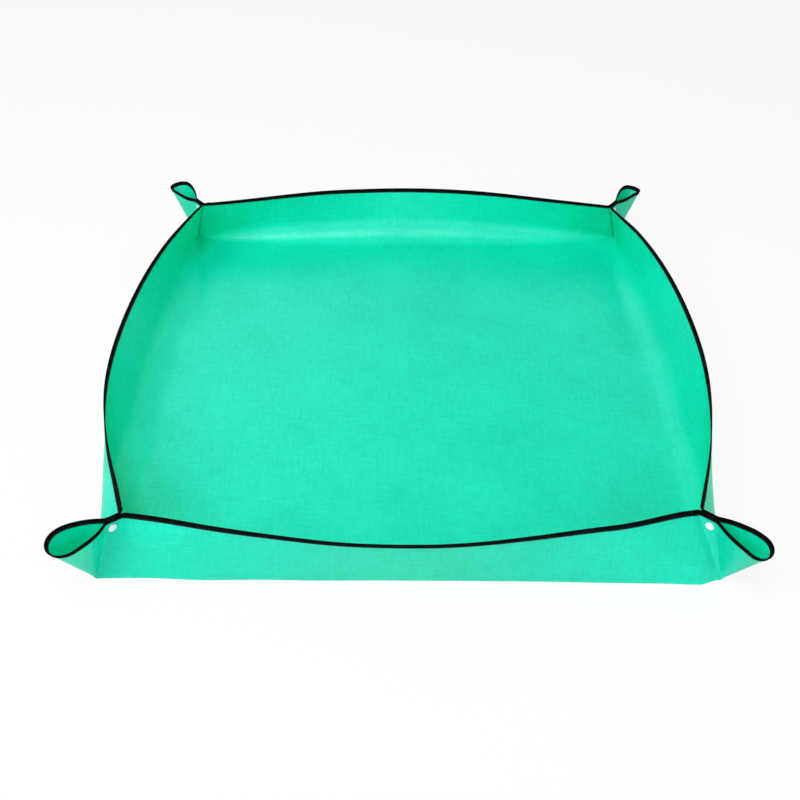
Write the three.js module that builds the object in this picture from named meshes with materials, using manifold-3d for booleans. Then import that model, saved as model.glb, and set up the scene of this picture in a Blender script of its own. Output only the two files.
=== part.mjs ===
// Repotting mat: one square of coated woven cloth, bound with tape round its edge and pinched at its
// four corners by snap fasteners, so that its edge stands up as the walls of a shallow tray.
// Millimetres, +Z up, origin under the middle of the floor, front wall towards -Y.
import * as THREE from 'three';
import { mergeVertices } from 'three/addons/utils/BufferGeometryUtils.js';
import Module from 'manifold-3d';

// Cloth sheet
const SHEET_SIDE = 1000;
const SHEET_THICK = 0.5;
const SHEET_CORNER_RADIUS = 67;
const WALL_HEIGHT = 92;

// Stance of the walls of the snapped tray, and the cloth that each corner takes up, in degrees
const FRONT_RISE_ANGLE = 77.4;
const SIDE_RISE_ANGLE = 60.8;
const BACK_RISE_ANGLE = 77;
const TUCK_ANGLE = 22;

// Stance of each ear, in degrees: how far its corner leans in, how widely its loop opens and how far
// the loop hangs; a loop with a negative hang is perked up
const FRONT_LEFT_LEAN_ANGLE = 34.4;
const FRONT_RIGHT_LEAN_ANGLE = 32.1;
const BACK_LEFT_LEAN_ANGLE = 25.6;
const BACK_RIGHT_LEAN_ANGLE = 26.5;
const FRONT_LEFT_SPLAY_ANGLE = 44;
const FRONT_RIGHT_SPLAY_ANGLE = 30;
const BACK_LEFT_SPLAY_ANGLE = 30;
const BACK_RIGHT_SPLAY_ANGLE = 24;
const FRONT_LEFT_HANG_ANGLE = 4;
const FRONT_RIGHT_HANG_ANGLE = 0;
const BACK_LEFT_HANG_ANGLE = -5;
const BACK_RIGHT_HANG_ANGLE = -6;

// Share of a loop's flank in which it still turns away from the other layer
const FLARE_RATIO = 0.14;

// How tightly each wall's edge bows at its middle: 0 is an even curve, 4 nearly two straights
const FRONT_BOW_RATIO = 1.3;
const SIDE_BOW_RATIO = 0.9;
const BACK_BOW_RATIO = 3.9;

// Gaps that stand for the folds and for the seam at the nose of each ear
const FOLD_GAP = 0.7;
const POST_GAP = 0.4;
const NOSE_GAP = 0.8;
const APEX_CUT = 3;

// Binding tape, folded over the edge
const TAPE_WIDTH = 7;
const TAPE_THICK = 0.5;
const TAPE_CLEAR = 0.25;
const TAPE_END_GAP = 0.9;

// Snap fasteners
const CAP_DIAMETER = 11.5;
const CAP_RIM = 0.6;
const CAP_DOME = 0.8;
const CAP_MARGIN = 2.4;
const LAP_MARGIN = 0.8;
const PRONG_DIAMETER = 2.4;
const PRONG_CLEAR = 0.3;
const SEAT_CLEAR = 0.25;
const STUD_DIAMETER = 9.6;
const STUD_FLANGE = 0.7;
const KNOB_DIAMETER = 4.8;
const KNOB_HEIGHT = 1.2;
const KNOB_WAIST = 0.2;
const SOCKET_DIAMETER = 10;
const SOCKET_HEIGHT = 1.7;
const SOCKET_BASE = 0.5;
const SOCKET_CLEAR = 0.4;
const SNAP_PLAY = 0.3;
const SNAP_DROP = 17;

// Facets
const WALL_STEPS = 32;
const WALL_ROWS = 4;
const LAP_STEPS = 2;
const FLARE_STEPS = 2;
const FLANK_STEPS = 5;
const NOSE_STEPS = 6;
const EAR_ROWS = 3;
const SNAP_SEGMENTS = 16;
const DOME_STEPS = 3;

const wasm = await Module();
wasm.setup();

const UP = new THREE.Vector3(0, 0, 1);
const radians = THREE.MathUtils.degToRad;

// Sizes that follow from the ones above
const floorHalf = SHEET_SIDE / 2 - WALL_HEIGHT;
const sheetHalf = SHEET_THICK / 2;
const layerGap = 2 * SEAT_CLEAR + STUD_FLANGE + SNAP_PLAY + SOCKET_HEIGHT;
const layerOffset = layerGap / 2 + sheetHalf;
const foldEnd = floorHalf - layerOffset * Math.SQRT2;
const tuck = radians(TUCK_ANGLE);
const postLength = WALL_HEIGHT / Math.cos(tuck);
const cornerRound = Math.min(SHEET_CORNER_RADIUS, WALL_HEIGHT);
const snapAcross = CAP_DIAMETER / 2 + CAP_MARGIN;
const snapUp = (WALL_HEIGHT - SNAP_DROP - snapAcross * Math.sin(tuck)) / Math.cos(tuck);
const earSpan = Math.PI / 4 + tuck;
const lap = Math.atan2(snapAcross + CAP_DIAMETER / 2 + LAP_MARGIN, snapUp - CAP_DIAMETER / 2);

// Colours of the cloth, the tape and the snaps
const clothLook = { color: 0x1edcb6, roughness: 0.42, metalness: 0, side: THREE.DoubleSide };
const tapeLook = { color: 0x101211, roughness: 0.85, metalness: 0 };
const snapLook = { color: 0xf1f6f4, roughness: 0.35, metalness: 0 };

function namedMesh(name, geometry, look) {
  const mesh = new THREE.Mesh(geometry, new THREE.MeshStandardMaterial(look));
  mesh.name = name;
  return mesh;
}

// A closed geometry from points and triangles, turned so that its faces point out
function closedGeometry(points, triangles) {
  let volume = 0;
  const normal = new THREE.Vector3();
  for (const [a, b, c] of triangles) {
    volume += normal.crossVectors(points[b], points[c]).dot(points[a]);
  }
  const index = triangles.flatMap(([a, b, c]) => (volume > 0 ? [a, b, c] : [a, c, b]));
  const geometry = new THREE.BufferGeometry();
  geometry.setAttribute('position', new THREE.Float32BufferAttribute(points.flatMap((p) => p.toArray()), 3));
  geometry.setIndex(index);
  geometry.computeVertexNormals();
  return geometry;
}

// A panel of cloth: a surface given two thicknesses apart and closed round its rim
function panelGeometry(place, steps, rows) {
  const columns = steps.length;
  const lines = rows.length;
  const points = [];
  for (const side of [sheetHalf, -sheetHalf]) {
    for (const step of steps) {
      for (const row of rows) {
        points.push(place(step, row, side));
      }
    }
  }
  const at = (layer, i, j) => layer * columns * lines + i * lines + j;
  const triangles = [];
  const quad = (a, b, c, d) => triangles.push([a, b, c], [a, c, d]);
  for (let i = 0; i < columns - 1; i += 1) {
    for (let j = 0; j < lines - 1; j += 1) {
      quad(at(0, i, j), at(0, i + 1, j), at(0, i + 1, j + 1), at(0, i, j + 1));
      quad(at(1, i, j), at(1, i, j + 1), at(1, i + 1, j + 1), at(1, i + 1, j));
    }
    const last = lines - 1;
    quad(at(0, i, 0), at(1, i, 0), at(1, i + 1, 0), at(0, i + 1, 0));
    quad(at(0, i, last), at(0, i + 1, last), at(1, i + 1, last), at(1, i, last));
  }
  for (let j = 0; j < lines - 1; j += 1) {
    const last = columns - 1;
    quad(at(0, 0, j), at(0, 0, j + 1), at(1, 0, j + 1), at(1, 0, j));
    quad(at(0, last, j), at(1, last, j), at(1, last, j + 1), at(0, last, j + 1));
  }
  return closedGeometry(points, triangles);
}

// The tape's section: distance in from the sheet's edge, and height off its middle
function tapeSection() {
  const inner = sheetHalf + TAPE_CLEAR;
  const outer = inner + TAPE_THICK;
  const nose = -TAPE_CLEAR - TAPE_THICK;
  return [
    [TAPE_WIDTH, outer], [nose + TAPE_THICK, outer], [nose, outer / 2],
    [nose, -outer / 2], [nose + TAPE_THICK, -outer], [TAPE_WIDTH, -outer],
    [TAPE_WIDTH, -inner], [-TAPE_CLEAR, -inner], [-TAPE_CLEAR, inner], [TAPE_WIDTH, inner],
  ];
}

// Tape folded over the edge of a panel, from its first step to its last
function tapeGeometry(place, steps) {
  const section = tapeSection();
  const count = section.length;
  const points = steps.flatMap((step) => section.map(([inset, height]) => place(step, inset, height)));
  const triangles = [];
  for (let i = 0; i < steps.length - 1; i += 1) {
    for (let j = 0; j < count; j += 1) {
      const k = (j + 1) % count;
      const a = i * count + j;
      const b = i * count + k;
      if (section[j][0] <= section[k][0]) {
        triangles.push([a, b, b + count], [a, b + count, a + count]);
      } else {
        triangles.push([a, b, a + count], [b, b + count, a + count]);
      }
    }
  }
  const end = (steps.length - 1) * count;
  const flat = section.map(([inset, height]) => new THREE.Vector2(inset, height));
  for (const [a, b, c] of THREE.ShapeUtils.triangulateShape(flat, [])) {
    triangles.push([a, c, b], [end + a, end + b, end + c]);
  }
  return closedGeometry(points, triangles);
}

function evenSteps(from, to, count) {
  return Array.from({ length: count + 1 }, (_, i) => from + ((to - from) * i) / count);
}

// How far down a wall one of its rows lies: the first two bound the hem that the tape covers
function rowInset(row, depth) {
  return row === 0 ? 0 : TAPE_WIDTH + ((depth - TAPE_WIDTH) * (row - 1)) / (WALL_ROWS - 1);
}

// The fold at one end of a wall, which runs from the floor's corner up to the pinched edge.
// A wall is drawn with its fold along X and its outside towards +Y.
function cornerPost(side, corner) {
  const lean = radians(corner.lean);
  const diagonal = new THREE.Vector3(side, 1, 0).normalize();
  const along = diagonal.clone().multiplyScalar(-Math.sin(lean)).addScaledVector(UP, Math.cos(lean));
  const across = diagonal.clone().multiplyScalar(Math.cos(lean)).addScaledVector(UP, Math.sin(lean));
  const off = new THREE.Vector3(-side, 1, 0).normalize();
  const foot = new THREE.Vector3(side * foldEnd, floorHalf, sheetHalf);
  const top = foot.clone().addScaledVector(along, postLength);
  return { side, along, across, off, foot, top, loop: earLoop(corner) };
}

// A wall: straight at its fold, bowed outwards at its edge, drawn in to a post at each end
function wallSurface(riseDegrees, tightness, posts) {
  const ends = posts.map((post) => {
    const out = post.top.y - floorHalf;
    const up = post.top.z - sheetHalf;
    return { x: post.top.x, angle: Math.atan2(up, out), length: Math.hypot(out, up) };
  });
  const rise = radians(riseDegrees);
  const bowed = (t) => Math.hypot(1, tightness * t) - 1;
  const ruling = (t) => {
    const end = t < 0 ? ends[0] : ends[1];
    const bow = bowed(t) / bowed(1);
    const angle = rise + (end.angle - rise) * bow;
    const reach = WALL_HEIGHT + (end.length - WALL_HEIGHT) * bow;
    const foot = new THREE.Vector3(t * foldEnd, floorHalf, sheetHalf);
    const x = ends[0].x + ((ends[1].x - ends[0].x) * (t + 1)) / 2;
    const out = floorHalf + reach * Math.cos(angle);
    const top = new THREE.Vector3(x, out, sheetHalf + reach * Math.sin(angle));
    return { foot, top };
  };
  const point = (t, inset) => {
    const { foot, top } = ruling(t);
    const line = foot.clone().sub(top);
    return top.clone().addScaledVector(line, inset / line.length());
  };
  const length = (t) => {
    const { foot, top } = ruling(t);
    return foot.distanceTo(top);
  };
  const place = (t, inset, height) => {
    const step = 1e-3;
    const aside = point(t + step, inset).sub(point(t - step, inset));
    const { foot, top } = ruling(t);
    const up = top.sub(foot);
    return point(t, inset).addScaledVector(up.cross(aside).normalize(), height);
  };
  return { place, length };
}

// Half of an ear's loop, seen from the floor's corner, in radians: flat where the snap holds the
// two layers together, then flaring, then bending back along its flank, then round the nose
function earLoop(corner) {
  const splay = radians(corner.splay);
  const hang = radians(corner.hang);
  const flank = (earSpan - lap) / (splay + ((1 - Math.cos(splay)) * Math.PI) / 2);
  const flareRadius = flank * FLARE_RATIO;
  const flankRadius = flank - flareRadius;
  const noseRadius = flank * (1 - Math.cos(splay));
  const flareEnd = lap + flareRadius * splay;
  const flankEnd = lap + flank * splay;
  const at = (turn) => {
    if (turn <= lap) {
      return [turn, 0];
    }
    const flared = Math.min((turn - lap) / flareRadius, splay);
    let swing = lap + flareRadius * Math.sin(flared);
    let width = flareRadius * (1 - Math.cos(flared));
    if (turn > flareEnd) {
      const heading = splay - Math.min((turn - flareEnd) / flankRadius, splay);
      swing += flankRadius * (Math.sin(splay) - Math.sin(heading));
      width += flankRadius * (Math.cos(heading) - Math.cos(splay));
    }
    if (turn > flankEnd) {
      const rounded = (turn - flankEnd) / noseRadius;
      swing += noseRadius * Math.sin(rounded);
      width -= noseRadius * (1 - Math.cos(rounded));
    }
    const hung = hang * Math.sin(((turn - lap) / (earSpan - lap)) * (Math.PI / 2));
    return [swing + hung, width];
  };
  return { at, flareEnd, flankEnd };
}

// Distance from the floor's corner to a line drawn inside the sheet's rounded edge
function edgeReach(turn, inset) {
  const angle = turn - tuck;
  const straight = (WALL_HEIGHT - inset) / Math.cos(angle);
  const reach = WALL_HEIGHT - cornerRound;
  if (Math.tan(angle) <= reach / (WALL_HEIGHT - inset)) {
    return straight;
  }
  const span = reach * (Math.sin(angle) + Math.cos(angle));
  const round = cornerRound - inset;
  return span + Math.sqrt(span * span - 2 * reach * reach + round * round);
}

// Half of a corner's ear: a cone of cloth from the floor's corner out to the sheet's edge
function earSurface(post) {
  const foot = post.foot.clone().addScaledVector(post.across, POST_GAP);
  const closing = Math.asin((layerOffset - NOSE_GAP / 2) / edgeReach(earSpan, 0));
  const direction = (turn) => {
    const [swing, width] = post.loop.at(turn);
    const drawnIn = (closing * Math.max(turn - lap, 0)) / (earSpan - lap);
    const open = width - drawnIn;
    return new THREE.Vector3()
      .addScaledVector(post.along, Math.cos(open) * Math.cos(swing))
      .addScaledVector(post.across, Math.cos(open) * Math.sin(swing))
      .addScaledVector(post.off, Math.sin(open));
  };
  const place = (turn, reach, height) => {
    const step = 1e-4;
    const aside = direction(turn + step).sub(direction(turn - step));
    const normal = direction(turn).cross(aside).normalize().multiplyScalar(post.side);
    return foot.clone().addScaledVector(direction(turn), reach).addScaledVector(normal, height);
  };
  return { foot, place };
}

// A revolved piece whose axis leaves the cloth along a direction, from a seat on it
function revolvedGeometry(profile, seat, axis) {
  const geometry = new THREE.LatheGeometry(profile.map(([r, y]) => new THREE.Vector2(r, y)), SNAP_SEGMENTS);
  const turn = new THREE.Quaternion().setFromUnitVectors(new THREE.Vector3(0, 1, 0), axis);
  geometry.applyQuaternion(turn);
  geometry.translate(seat.x, seat.y, seat.z);
  geometry.deleteAttribute('normal');
  geometry.deleteAttribute('uv');
  const merged = mergeVertices(geometry, 1e-4);
  merged.computeVertexNormals();
  return merged;
}

function toSolid(geometry) {
  const bare = geometry.clone();
  bare.deleteAttribute('normal');
  const merged = mergeVertices(bare, 1e-4);
  return new wasm.Manifold(new wasm.Mesh({
    numProp: 3,
    vertProperties: new Float32Array(merged.getAttribute('position').array),
    triVerts: new Uint32Array(merged.getIndex().array),
  }));
}

function cutGeometry(geometry, tool) {
  const mesh = toSolid(geometry).subtract(toSolid(tool)).getMesh();
  const cut = new THREE.BufferGeometry();
  cut.setAttribute('position', new THREE.BufferAttribute(new Float32Array(mesh.vertProperties), 3));
  cut.setIndex(new THREE.BufferAttribute(new Uint32Array(mesh.triVerts), 1));
  cut.computeVertexNormals();
  return cut;
}

// Cap: a low dome outside the cloth with the prong that goes through it
function capProfile(prongReach) {
  const radius = CAP_DIAMETER / 2;
  const prong = PRONG_DIAMETER / 2;
  const dome = evenSteps(0, Math.PI / 2, DOME_STEPS).slice(0, -1).map((turn) => [
    radius * Math.cos(turn), CAP_RIM + CAP_DOME * Math.sin(turn),
  ]);
  return [
    [0, -prongReach], [prong, -prongReach], [prong, 0], [radius, 0], ...dome, [0, CAP_RIM + CAP_DOME],
  ];
}

// Stud: a flange with a hollow knob that the prong is riveted into
function studProfile() {
  const bore = PRONG_DIAMETER / 2 + PRONG_CLEAR;
  const knob = KNOB_DIAMETER / 2;
  const top = STUD_FLANGE + KNOB_HEIGHT;
  return [
    [bore, 0], [STUD_DIAMETER / 2, 0], [STUD_DIAMETER / 2, STUD_FLANGE],
    [knob - KNOB_WAIST, STUD_FLANGE], [knob, STUD_FLANGE + KNOB_HEIGHT / 2], [knob - KNOB_WAIST, top],
    [bore, top], [bore, 0],
  ];
}

// Socket: a ring on a thin base, which takes the knob
function socketProfile() {
  const bore = PRONG_DIAMETER / 2 + PRONG_CLEAR;
  const recess = KNOB_DIAMETER / 2 + SOCKET_CLEAR;
  return [
    [bore, 0], [SOCKET_DIAMETER / 2, 0], [SOCKET_DIAMETER / 2, SOCKET_HEIGHT],
    [recess, SOCKET_HEIGHT], [recess, SOCKET_BASE], [bore, SOCKET_BASE], [bore, 0],
  ];
}

// One end of a wall: half an ear with its tape, its snap cap and its stud or socket
function earPieces(name, post, holdsStud) {
  const { foot, place } = earSurface(post);
  const { flareEnd, flankEnd } = post.loop;
  const turns = [
    ...evenSteps(0, lap, LAP_STEPS),
    ...evenSteps(lap, flareEnd, FLARE_STEPS).slice(1),
    ...evenSteps(flareEnd, flankEnd, FLANK_STEPS).slice(1),
    ...evenSteps(flankEnd, earSpan, NOSE_STEPS).slice(1),
  ];
  const panel = panelGeometry((turn, row, height) => {
    const hem = edgeReach(turn, TAPE_WIDTH);
    const reach = row === 0 ? edgeReach(turn, 0) : hem + ((APEX_CUT - hem) * (row - 1)) / (EAR_ROWS - 1);
    return place(turn, reach, height);
  }, turns, evenSteps(0, EAR_ROWS, EAR_ROWS));

  const seat = foot.clone().addScaledVector(post.along, snapUp).addScaledVector(post.across, snapAcross);
  const inward = post.off.clone().negate();
  const holeRadius = PRONG_DIAMETER / 2 + PRONG_CLEAR;
  const hole = revolvedGeometry(
    [[0, -layerGap], [holeRadius, -layerGap], [holeRadius, layerGap], [0, layerGap]], seat, post.off,
  );

  const tapeStart = (TAPE_END_GAP - POST_GAP) / postLength;
  const tapeTurns = [tapeStart, ...turns.slice(1)];
  const tape = tapeGeometry((turn, inset, height) => place(turn, edgeReach(turn, inset), height), tapeTurns);

  const outerSeat = seat.clone().addScaledVector(post.off, sheetHalf + SEAT_CLEAR);
  const innerSeat = seat.clone().addScaledVector(inward, sheetHalf + SEAT_CLEAR);
  const throughCloth = SHEET_THICK + 2 * SEAT_CLEAR;
  const prongReach = throughCloth + (holdsStud ? STUD_FLANGE : SOCKET_BASE);
  const cap = revolvedGeometry(capProfile(prongReach), outerSeat, post.off);
  const catchProfile = holdsStud ? studProfile() : socketProfile();
  const catchName = holdsStud ? 'snap_stud' : 'snap_socket';
  return [
    namedMesh(`ear_${name}`, cutGeometry(panel, hole), clothLook),
    namedMesh(`ear_binding_${name}`, tape, tapeLook),
    namedMesh(`snap_cap_${name}`, cap, snapLook),
    namedMesh(`${catchName}_${name}`, revolvedGeometry(catchProfile, innerSeat, inward), snapLook),
  ];
}

// A wall with the tape on its edge and the two half ears at its ends
function wallGroup(wall) {
  const posts = [cornerPost(-1, wall.ends[0].corner), cornerPost(1, wall.ends[1].corner)];
  const { place, length } = wallSurface(wall.rise, wall.bow, posts);
  const panelEnd = 1 - POST_GAP / foldEnd;
  const tapeEnd = 1 - TAPE_END_GAP / foldEnd;
  const between = evenSteps(-1, 1, WALL_STEPS).slice(1, -1);
  const panel = panelGeometry(
    (t, row, height) => place(t, rowInset(row, length(t) - FOLD_GAP), height),
    [-panelEnd, ...between, panelEnd], evenSteps(0, WALL_ROWS, WALL_ROWS),
  );
  const tape = tapeGeometry(place, [-tapeEnd, ...between, tapeEnd]);
  const group = new THREE.Group();
  group.rotation.z = radians(wall.turn);
  group.add(namedMesh(`wall_${wall.name}`, panel, clothLook));
  group.add(namedMesh(`wall_binding_${wall.name}`, tape, tapeLook));
  wall.ends.forEach((end, i) => group.add(...earPieces(`${wall.name}_${end.name}`, posts[i], wall.holdsStuds)));
  return group;
}

// The floor stays flat between the four folds
const floorSide = 2 * (floorHalf - FOLD_GAP);
const floor = namedMesh('floor_panel', new THREE.BoxGeometry(floorSide, floorSide, SHEET_THICK), clothLook);
floor.position.z = sheetHalf;

// The four corners, and the four walls; each end names the wall that it meets
const frontLeft = {
  lean: FRONT_LEFT_LEAN_ANGLE, splay: FRONT_LEFT_SPLAY_ANGLE, hang: FRONT_LEFT_HANG_ANGLE,
};
const frontRight = {
  lean: FRONT_RIGHT_LEAN_ANGLE, splay: FRONT_RIGHT_SPLAY_ANGLE, hang: FRONT_RIGHT_HANG_ANGLE,
};
const backLeft = {
  lean: BACK_LEFT_LEAN_ANGLE, splay: BACK_LEFT_SPLAY_ANGLE, hang: BACK_LEFT_HANG_ANGLE,
};
const backRight = {
  lean: BACK_RIGHT_LEAN_ANGLE, splay: BACK_RIGHT_SPLAY_ANGLE, hang: BACK_RIGHT_HANG_ANGLE,
};
const walls = [
  { name: 'back', turn: 0, rise: BACK_RISE_ANGLE, bow: BACK_BOW_RATIO, holdsStuds: false,
    ends: [{ name: 'left', corner: backLeft }, { name: 'right', corner: backRight }] },
  { name: 'left', turn: 90, rise: SIDE_RISE_ANGLE, bow: SIDE_BOW_RATIO, holdsStuds: true,
    ends: [{ name: 'front', corner: frontLeft }, { name: 'back', corner: backLeft }] },
  { name: 'front', turn: 180, rise: FRONT_RISE_ANGLE, bow: FRONT_BOW_RATIO, holdsStuds: false,
    ends: [{ name: 'right', corner: frontRight }, { name: 'left', corner: frontLeft }] },
  { name: 'right', turn: -90, rise: SIDE_RISE_ANGLE, bow: SIDE_BOW_RATIO, holdsStuds: true,
    ends: [{ name: 'back', corner: backRight }, { name: 'front', corner: frontRight }] },
];

const mat = new THREE.Group();
mat.add(floor, ...walls.map(wallGroup));

export default mat;
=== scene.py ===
# A repotting mat: one square of coated cloth, snapped up at its corners into a shallow tray.
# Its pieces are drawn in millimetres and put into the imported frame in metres.
import math
from collections import namedtuple

import bpy
import numpy as np
from mathutils import Matrix


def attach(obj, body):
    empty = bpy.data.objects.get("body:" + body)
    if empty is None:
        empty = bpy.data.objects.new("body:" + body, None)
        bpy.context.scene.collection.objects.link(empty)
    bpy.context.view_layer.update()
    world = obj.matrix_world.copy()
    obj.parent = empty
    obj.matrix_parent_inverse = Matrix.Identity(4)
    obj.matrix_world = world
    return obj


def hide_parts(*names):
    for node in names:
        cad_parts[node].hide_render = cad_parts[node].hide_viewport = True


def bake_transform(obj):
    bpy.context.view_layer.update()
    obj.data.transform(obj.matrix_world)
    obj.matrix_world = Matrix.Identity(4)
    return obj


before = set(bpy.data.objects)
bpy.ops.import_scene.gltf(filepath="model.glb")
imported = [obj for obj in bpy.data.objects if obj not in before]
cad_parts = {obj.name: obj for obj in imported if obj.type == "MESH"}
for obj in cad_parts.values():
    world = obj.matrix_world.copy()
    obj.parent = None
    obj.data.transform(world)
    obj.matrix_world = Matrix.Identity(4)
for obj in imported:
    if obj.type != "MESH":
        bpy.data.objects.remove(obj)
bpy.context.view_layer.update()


# Viewpoint: a hand-held view from the front, looking down over the front wall into the tray.
# It is level to within a fraction of a degree.
VIEW_FROM = (-0.0144, -1.1222, 0.9727)
VIEW_DOWN, VIEW_ASIDE, VIEW_TILT = 42.604, -0.148, 0.251
VIEW_LENS = 40.963
VIEW_REACH = 50

camera = bpy.data.objects.new("viewpoint", bpy.data.cameras.new("viewpoint"))
camera.data.lens = VIEW_LENS
camera.data.clip_end = VIEW_REACH
camera_turn = (
    Matrix.Rotation(math.radians(VIEW_ASIDE), 4, "Z")
    @ Matrix.Rotation(math.radians(90 - VIEW_DOWN), 4, "X")
    @ Matrix.Rotation(math.radians(VIEW_TILT), 4, "Z")
)
camera.matrix_world = Matrix.Translation(VIEW_FROM) @ camera_turn
bpy.context.collection.objects.link(camera)
bpy.context.scene.camera = camera


# Floor: the middle of the one square sheet, woven from flat green plastic tapes and coated.
# It lies flat, with the slack ripples of a sheet that has been stored folded.
METRES = 0.001
UP = np.array([0.0, 0.0, 1.0])
WALL_HEIGHT = 92.0
FLOOR_HALF = 408.0
CLOTH_HALF = 0.25
FOLD_STRIP = 40.0
FLOOR_CELLS = 62
FLOOR_STEPS = (1.0, 1.0)
LEAST_LENGTH = 1e-12
RIPPLE_SEED = 11
RIPPLE_HEIGHT = 0.22
RIPPLE_COUNT = 7
RIPPLE_LENGTHS = (90.0, 320.0)
RIPPLE_FADE = (320.0, 385.0)

chance = np.random.default_rng(RIPPLE_SEED)
ripple_heading = chance.uniform(0, math.pi, RIPPLE_COUNT)
ripple_turns = 2 * math.pi / chance.uniform(*RIPPLE_LENGTHS, RIPPLE_COUNT)
ripple_start = chance.uniform(0, 2 * math.pi, RIPPLE_COUNT)


def eased(share):
    """A share from 0 to 1 that sets off and comes in gently."""
    return share * share * (3 - 2 * share)


def smooth_step(value, low, high):
    """The eased share of the way from a low value to a high one."""
    return eased(np.clip((value - low) / (high - low), 0, 1))


def ripple(flat):
    """How far the cloth lifts at a place on the flat sheet; the pinched corners stay taut."""
    across = flat[..., 0, None] * np.cos(ripple_heading) + flat[..., 1, None] * np.sin(ripple_heading)
    waves = (1 + np.sin(across * ripple_turns + ripple_start)).sum(-1) * RIPPLE_HEIGHT / 2
    return waves * (1 - smooth_step(np.abs(flat).min(-1), *RIPPLE_FADE))


# Each corner by its side and end: how far the floor's tip and the pinched edge settle off the true
# square, and how far the ear's nose lifts. The seam down the nose stays on its own line, so that the
# two halves of the ear part there no further than their hinges do.
SETTLED = {
    (-1, -1): ((-1.2, -0.8, 0.0), (3.5, 0.0, 1.5), 0.0),
    (1, -1): ((0.4, -1.2, 0.0), (-0.5, 5.0, 5.0), -3.0),
    (-1, 1): ((0.0, 0.0, 0.0), (-3.0, 0.0, 1.0), 6.6),
    (1, 1): ((0.0, 0.0, 0.0), (3.5, 0.0, 0.0), 1.0),
}
TIP_REACH = (88.0, 180.0)
SEAM_CLEAR = math.radians(50)
SEAM_RISE = (0.34, 0.875)
PINCH_AT, PINCH_REACH = (-40.0, 92.0), 110.0
NOSE_AT, NOSE_REACH = (65.0, 65.0), 85.0

# Where a wall swells: the way it faces, the stretch along it, and how far out it goes at the fold,
# half way up and at its edge, with the edge's own lift.
SWELLS = [
    ((0, -1), (-405.0, -250.0, 375.0, 406.0), 6.0, 0.0, 0.0, 0.0),
    ((0, -1), (60.0, 330.0, 370.0, 402.0), 3.5, 0.0, 0.0, 0.0),
    ((0, -1), (-250.0, 50.0, 200.0, 340.0), 0.0, 0.0, -3.0, 0.0),
    ((-1, 0), (-392.0, -345.0, -270.0, -110.0), 0.0, 12.0, 0.0, 0.0),
    ((-1, 0), (-330.0, -100.0, 240.0, 345.0), 0.0, 0.0, 4.0, -1.0),
    ((1, 0), (-392.0, -340.0, -260.0, -100.0), 0.0, 8.0, 0.0, 0.0),
    ((1, 0), (-250.0, 200.0, 270.0, 345.0), 0.0, 0.0, 8.0, -2.0),
    ((0, 1), (-330.0, -120.0, 60.0, 300.0), 0.0, 0.0, 4.0, 2.5),
]
SWELL_INSIDE = 150.0


def nearness(offset, reach):
    """The share left of a reach round a place on the flat sheet: 1 at the place and 0 outside."""
    return np.clip(1 - np.linalg.norm(offset / reach, axis=-1), 0, None)[..., None]


def settle(points, flat):
    """The soft sheet: its tips are off square, its ears sit as they fell and its walls swell."""
    for (side, end), (tip_shift, pinch_shift, nose_lift) in SETTLED.items():
        past = flat * (side, end) - FLOOR_HALF
        from_seam = np.abs(np.arctan2(past[..., 0] - past[..., 1], past.sum(-1)))[..., None]
        clear = smooth_step(from_seam, 0, SEAM_CLEAR)
        tip = clear * nearness(past, np.where(past > 0, *TIP_REACH))
        pinched = clear * sum(eased(nearness(past - at, PINCH_REACH)) for at in (PINCH_AT, PINCH_AT[::-1]))
        lifted = eased(nearness(past - NOSE_AT, NOSE_REACH)) * nose_lift
        points = points + tip * np.array(tip_shift) + pinched * np.array(pinch_shift)
        points = points + lifted * np.array([side * SEAM_RISE[0], end * SEAM_RISE[0], SEAM_RISE[1]])
    for facing, (begins, full, still_full, ends), at_fold, half_way, at_edge, lift in SWELLS:
        past = flat @ np.array(facing) - FLOOR_HALF
        along = flat @ np.abs(facing[::-1])
        stretch = smooth_step(along, begins, full) * (1 - smooth_step(along, still_full, ends))
        up = np.clip(past / WALL_HEIGHT, 0, 1)
        out = at_fold * (1 - up) * (1 - smooth_step(-past, 0, SWELL_INSIDE))
        out = stretch * (out + half_way * np.sin(math.pi * up) + at_edge * up)
        points = points + out[..., None] * np.array([*facing, 0])
        points = points + (stretch * up * lift)[..., None] * UP
    return points


def outward(surface, column, row, step_column, step_row):
    """The side of a surface that faces out of the tray: up its rows, turned against its columns."""
    aside = surface(column + step_column, row)[0] - surface(column - step_column, row)[0]
    upward = surface(column, row - step_row)[0] - surface(column, row + step_row)[0]
    normal = np.cross(upward, aside)
    return normal / np.maximum(np.linalg.norm(normal, axis=-1, keepdims=True), LEAST_LENGTH)


def rippled(surface, step_column, step_row):
    """The surface with its ripples, as it settled."""
    def at(column, row):
        points, flat = surface(column, row)
        normal = outward(surface, column, row, step_column, step_row)
        return settle(points - normal * ripple(flat)[..., None], flat), flat
    return at


def skin(surface, column, row, steps, flip=1):
    """Points of a surface, the way its outside faces there, and their places on the flat sheet."""
    points, flat = surface(column, row)
    return points, flip * outward(surface, column, row, *steps), flat


def grid_faces(columns, rows):
    """Four-sided faces of a grid of points, numbered column by column."""
    corner = np.arange(columns - 1)[:, None] * rows + np.arange(rows - 1)
    return np.stack([corner, corner + rows, corner + rows + 1, corner + 1], -1).reshape(-1, 4)


def rim_order(columns, rows):
    """The points round the border of such a grid, once round."""
    number = np.arange(columns * rows).reshape(columns, rows)
    return np.concatenate([number[:-1, 0], number[-1, :-1], number[:0:-1, -1], number[0, :0:-1]])


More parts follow.
